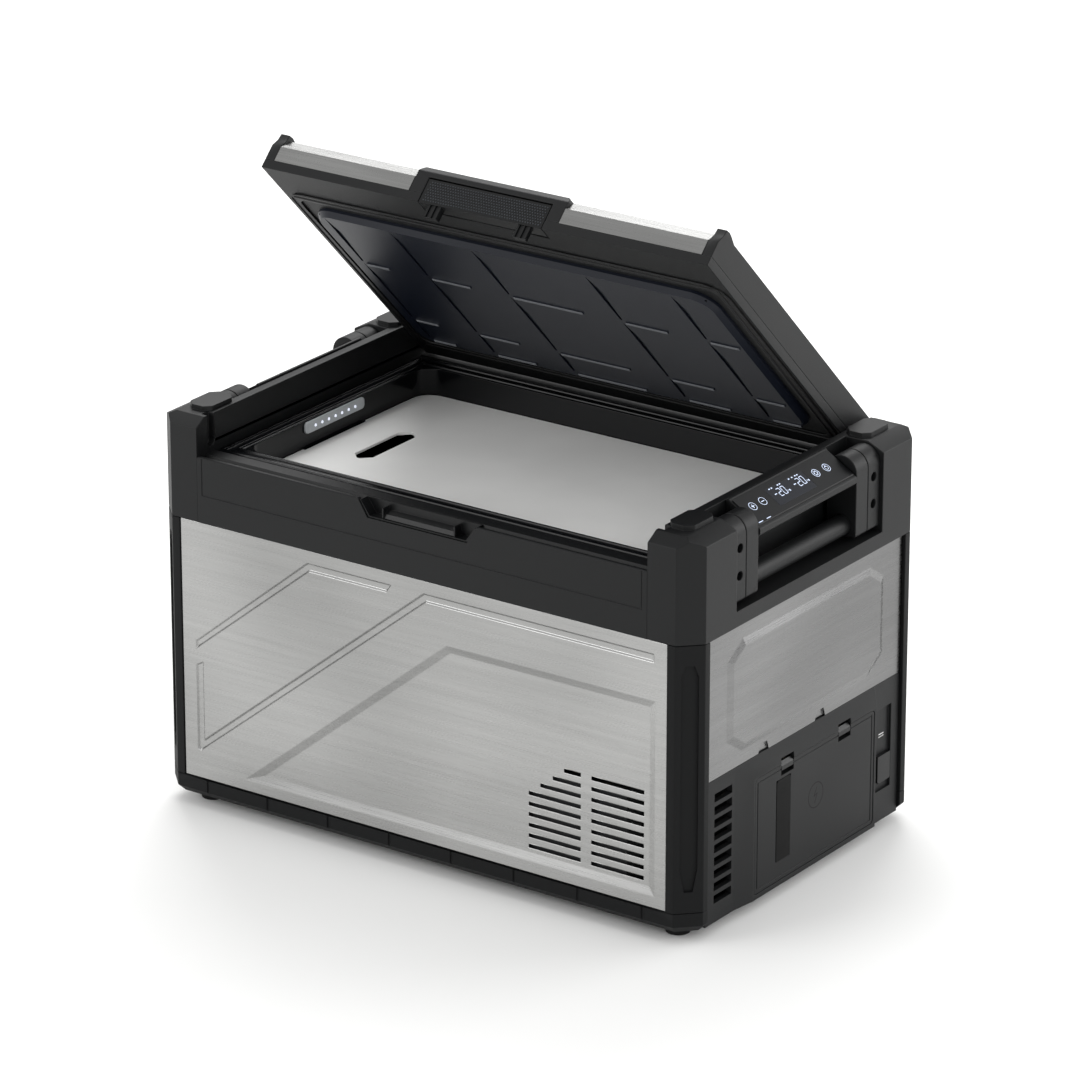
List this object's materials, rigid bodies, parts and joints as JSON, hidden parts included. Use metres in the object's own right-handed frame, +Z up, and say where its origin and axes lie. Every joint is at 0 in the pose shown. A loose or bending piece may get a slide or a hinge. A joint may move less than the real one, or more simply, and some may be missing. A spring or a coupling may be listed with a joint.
{
  "type": "compressor cooler fridge",
  "caption": "Portable chest compressor fridge with a hinged lid, swing carry handles at both ends, a sloped control panel and a clip-in battery pack.",
  "frame": {"origin": "centre of the footprint on the floor plane", "axes": "+X towards the end with the controls and the battery, -Y the front with the latch, +Z up"},
  "size_m": [0.64, 0.4026, 0.6747],
  "materials": {
    "black_shell": "fine spark-eroded moulding texture",
    "steel_skin": "pressed sheet with a fine satin brush",
    "grey_tray": "satin moulding",
    "black_liner": "glossy moulding",
    "lid_liner_black": "glossy moulding",
    "foam": "rigid foam, rough",
    "aluminium_wrap": "rolled sheet",
    "lens": "milky diffuser",
    "black_grip": "satin",
    "dark_metal": "powder coat",
    "zinc_steel": "zinc plated",
    "display_glass": "gloss window",
    "overlay": "satin film",
    "circuit": "solder mask",
    "gasket": "soft matt",
    "copper": "drawn copper tube",
    "cell_wrap": "shrink sleeve",
    "rubber": "matt"
  },
  "bodies": {
    "chest": {"base_tray": "black_shell", "feet": "rubber", "corner_post_front_right": "black_shell", "corner_post_front_left": "black_shell", "corner_post_rear_right": "black_shell", "corner_post_rear_left": "black_shell", "front_panel": "steel_skin", "rear_panel": "steel_skin", "left_panel": "steel_skin", "right_panel": "steel_skin", "front_rail": "black_shell", "rear_rail": "black_shell", "latch_keepers": "black_grip", "right_end_frame": "black_shell", "left_end_frame": "black_shell", "cabin_liner": "black_liner", "led_lens": "lens", "insulation_foam": "foam", "evaporator_wrap": "aluminium_wrap", "right_cover": "black_shell", "battery_bay": "black_grip", "dc_socket": "dark_metal", "right_handle_brackets": "black_grip", "left_handle_brackets": "black_grip", "handle_pins": "zinc_steel", "bracket_screws": "dark_metal", "control_housing": "black_shell", "handle_housing_left": "black_shell", "control_panel": "overlay", "display_module": "display_glass", "control_board": "circuit", "compressor": "dark_metal", "compressor_mounts": "rubber", "condenser": "aluminium_wrap", "fan_frame": "black_grip", "refrigerant_lines": "copper", "power_module": "dark_metal"},
    "lid": {"lid_base": "black_shell", "lid_frame": "black_shell", "lid_top_skin": "steel_skin", "lid_foam": "foam", "lid_liner": "lid_liner_black", "lid_gasket": "gasket", "lid_pins": "zinc_steel", "latch_surround": "black_grip", "latch_pin": "zinc_steel"},
    "latch": {"latch_lever": "black_grip"},
    "right_handle": {"right_handle_arms": "black_grip", "right_handle_grip": "black_grip"},
    "left_handle": {"left_handle_arms": "black_grip", "left_handle_grip": "black_grip"},
    "battery": {"battery_case": "black_shell", "battery_cells": "cell_wrap", "battery_ports": "dark_metal"},
    "clip_front": {"battery_latch_front": "black_grip"},
    "clip_rear": {"battery_latch_rear": "black_grip"},
    "port_cover": {"port_flap": "rubber"},
    "dc_cover": {"dc_shutter": "black_grip"},
    "fan": {"fan_rotor": "black_grip"},
    "shelf_tray": {"shelf": "grey_tray"}
  },
  "joints": [
    {"name": "lid_hinge", "type": "hinge", "parent": "chest", "child": "lid", "pos_m": [0, 0.1777, 0.388], "axis": [-1, 0, 0], "range_deg": [-45, 45]},
    {"name": "latch_pull", "type": "hinge", "parent": "lid", "child": "latch", "pos_m": [0, -0.0758, 0.65776], "axis": [-1, 0, 0], "range_deg": [0, 28], "stiffness_Nm_per_rad": 0.25, "springref_deg": -28.65},
    {"name": "right_handle_swing", "type": "hinge", "parent": "chest", "child": "right_handle", "pos_m": [0.299, 0, 0.396], "axis": [0, -1, 0], "range_deg": [0, 90]},
    {"name": "left_handle_swing", "type": "hinge", "parent": "chest", "child": "left_handle", "pos_m": [-0.299, 0, 0.396], "axis": [0, 1, 0], "range_deg": [0, 90]},
    {"name": "battery_pull", "type": "slide", "parent": "chest", "child": "battery", "axis": [1, 0, 0], "range_m": [0, 0.085]},
    {"name": "clip_front_press", "type": "slide", "parent": "battery", "child": "clip_front", "axis": [0, 0, -1], "range_m": [0, 0.004], "stiffness_N_per_m": 600, "springref_m": -0.002},
    {"name": "clip_rear_press", "type": "slide", "parent": "battery", "child": "clip_rear", "axis": [0, 0, -1], "range_m": [0, 0.004], "stiffness_N_per_m": 600, "springref_m": -0.002},
    {"name": "port_cover_hinge", "type": "hinge", "parent": "battery", "child": "port_cover", "pos_m": [0.3196, -0.0415, 0.0394], "axis": [0, 1, 0], "range_deg": [0, 110]},
    {"name": "dc_cover_hinge", "type": "hinge", "parent": "chest", "child": "dc_cover", "pos_m": [0.3176, 0.1445, 0.084], "axis": [0, -1, 0], "range_deg": [0, 100]},
    {"name": "fan_spin", "type": "hinge", "parent": "chest", "child": "fan", "pos_m": [0.178, -0.1532, 0.078], "axis": [0, 1, 0], "continuous": true},
    {"name": "shelf_lift", "type": "slide", "parent": "chest", "child": "shelf_tray", "axis": [0, 0, 1], "range_m": [0, 0.045]}
  ]
}
